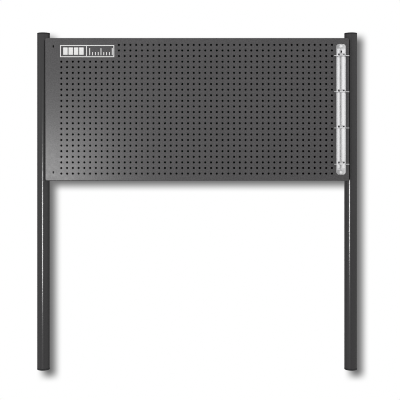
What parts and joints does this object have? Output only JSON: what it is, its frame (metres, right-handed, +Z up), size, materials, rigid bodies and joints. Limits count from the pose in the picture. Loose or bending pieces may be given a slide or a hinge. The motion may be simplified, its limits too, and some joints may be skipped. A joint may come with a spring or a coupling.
{
  "type": "perforated tool panel on posts",
  "caption": "Perforated steel tool panel with a closed back, bolted between two round posts with plastic caps, carrying a plated vertical rail of small tool shelves.",
  "frame": {"origin": "on the floor, at the middle of the bounding box", "axes": "+Z up, the front faces -Y, +X to the right seen from the front"},
  "size_m": [1.4084, 0.1306, 1.4819],
  "materials": {
    "post_paint": "dark grey powder coat, half gloss",
    "panel_paint": "dark grey fine powder coat, satin",
    "black_plastic": "moulded black plastic",
    "plated_steel": "bright plated pressed steel",
    "zinc_plate": "zinc plated",
    "dark_screw": "black oxide",
    "label_print": "thin printed film, white marks on dark grey"
  },
  "bodies": {
    "root": {"left_post": "post_paint", "left_post_cap": "black_plastic", "left_foot_plug": "black_plastic", "left_bench_insert_1": "zinc_plate", "left_bench_insert_2": "zinc_plate", "left_upper_lug": "post_paint", "left_upper_lug_bolt": "zinc_plate", "left_upper_lug_nut": "zinc_plate", "left_lower_lug": "post_paint", "left_lower_lug_bolt": "zinc_plate", "left_lower_lug_nut": "zinc_plate", "left_stiffener": "panel_paint", "right_post": "post_paint", "right_post_cap": "black_plastic", "right_foot_plug": "black_plastic", "right_bench_insert_1": "zinc_plate", "right_bench_insert_2": "zinc_plate", "right_upper_lug": "post_paint", "right_upper_lug_bolt": "zinc_plate", "right_upper_lug_nut": "zinc_plate", "right_lower_lug": "post_paint", "right_lower_lug_bolt": "zinc_plate", "right_lower_lug_nut": "zinc_plate", "right_stiffener": "panel_paint", "perforated_panel": "panel_paint", "back_cover": "panel_paint", "cover_top_screw_1": "zinc_plate", "cover_top_screw_2": "zinc_plate", "cover_top_screw_3": "zinc_plate", "cover_bottom_screw_1": "zinc_plate", "cover_bottom_screw_2": "zinc_plate", "cover_bottom_screw_3": "zinc_plate", "printed_label": "label_print", "tool_rail": "plated_steel", "tool_shelf_1": "plated_steel", "shelf_1_left_screw": "dark_screw", "shelf_1_right_screw": "dark_screw", "tool_shelf_2": "plated_steel", "shelf_2_left_screw": "dark_screw", "shelf_2_right_screw": "dark_screw", "tool_shelf_3": "plated_steel", "shelf_3_left_screw": "dark_screw", "shelf_3_right_screw": "dark_screw", "tool_shelf_4": "plated_steel", "shelf_4_left_screw": "dark_screw", "shelf_4_right_screw": "dark_screw", "rail_top_screw": "plated_steel", "rail_top_nut": "zinc_plate", "rail_bottom_screw": "plated_steel", "rail_bottom_nut": "zinc_plate"}
  },
  "joints": []
}
